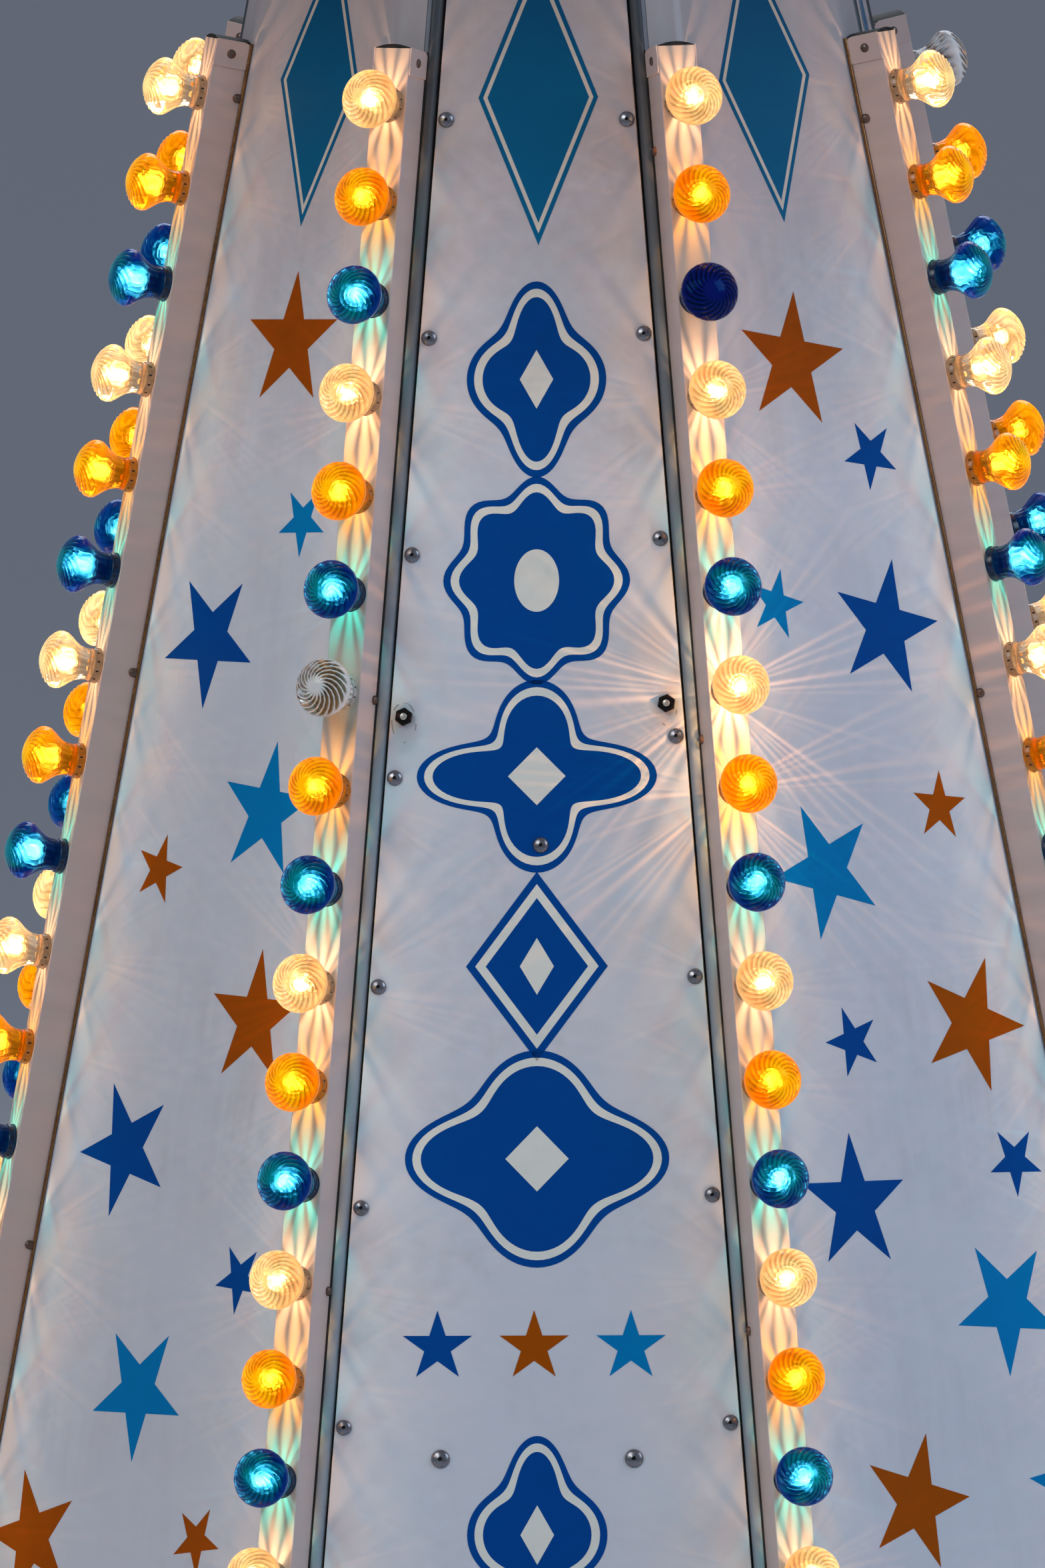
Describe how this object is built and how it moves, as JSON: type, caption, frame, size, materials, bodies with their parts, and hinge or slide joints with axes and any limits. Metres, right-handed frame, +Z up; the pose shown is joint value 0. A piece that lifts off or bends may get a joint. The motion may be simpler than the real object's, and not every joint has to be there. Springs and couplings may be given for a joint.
{
  "type": "clad centre tower of a chair swing ride",
  "caption": "Tapering octagonal fairground ride tower clad in painted panels, with a leaning bar of cabochon lamps up each corner and a bearing flange on top.",
  "frame": {"origin": "on the floor, at the middle of the plinth's underside, under the tower's axis", "axes": "+Z up along the tower's axis; -Y is the front, out of the front ornament panel; +X is the tower's right seen from the front"},
  "size_m": [1.9216, 1.9216, 3.4149],
  "materials": {
    "panel_white": "glossy lilac-white enamel on sheet",
    "bar_white": "satin warm white enamel on box section",
    "post_aluminium": "dull extruded aluminium",
    "plinth_grey": "worn grey enamel",
    "bearing_steel": "dark painted steel, greasy",
    "ornament_dark_blue": "dark blue painted motifs",
    "ornament_light_blue": "light blue painted motifs",
    "ornament_orange": "burnt orange painted motifs",
    "lamp_clear": "clear ribbed lamp cap",
    "lamp_amber": "amber ribbed lamp cap",
    "lamp_blue": "blue ribbed lamp cap",
    "lamp_collar": "vented lamp collar",
    "fastener_steel": "stainless domed screws",
    "fastener_dark": "dark, partly rusted nuts and screws",
    "seal_black": "black rubber plugs and gaskets"
  },
  "bodies": {
    "root": {"base_plinth": "plinth_grey", "ornament_panel_front": "panel_white", "ornament_panel_right": "panel_white", "ornament_panel_back": "panel_white", "ornament_panel_left": "panel_white", "star_panel_front_right": "panel_white", "star_panel_back_right": "panel_white", "star_panel_back_left": "panel_white", "star_panel_front_left": "panel_white", "corner_post_1": "post_aluminium", "corner_post_2": "post_aluminium", "corner_post_3": "post_aluminium", "corner_post_4": "post_aluminium", "corner_post_5": "post_aluminium", "corner_post_6": "post_aluminium", "corner_post_7": "post_aluminium", "corner_post_8": "post_aluminium", "light_bar_1": "bar_white", "light_bar_2": "bar_white", "light_bar_3": "bar_white", "light_bar_4": "bar_white", "light_bar_5": "bar_white", "light_bar_6": "bar_white", "light_bar_7": "bar_white", "light_bar_8": "bar_white", "bar_cap_top_1": "bar_white", "bar_cap_top_2": "bar_white", "bar_cap_top_3": "bar_white", "bar_cap_top_4": "bar_white", "bar_cap_top_5": "bar_white", "bar_cap_top_6": "bar_white", "bar_cap_top_7": "bar_white", "bar_cap_top_8": "bar_white", "bar_cap_foot_1": "bar_white", "bar_cap_foot_2": "bar_white", "bar_cap_foot_3": "bar_white", "bar_cap_foot_4": "bar_white", "bar_cap_foot_5": "bar_white", "bar_cap_foot_6": "bar_white", "bar_cap_foot_7": "bar_white", "bar_cap_foot_8": "bar_white", "cornice_plate": "panel_white", "bearing_drum": "bearing_steel", "bearing_flange": "bearing_steel"}
  },
  "joints": []
}
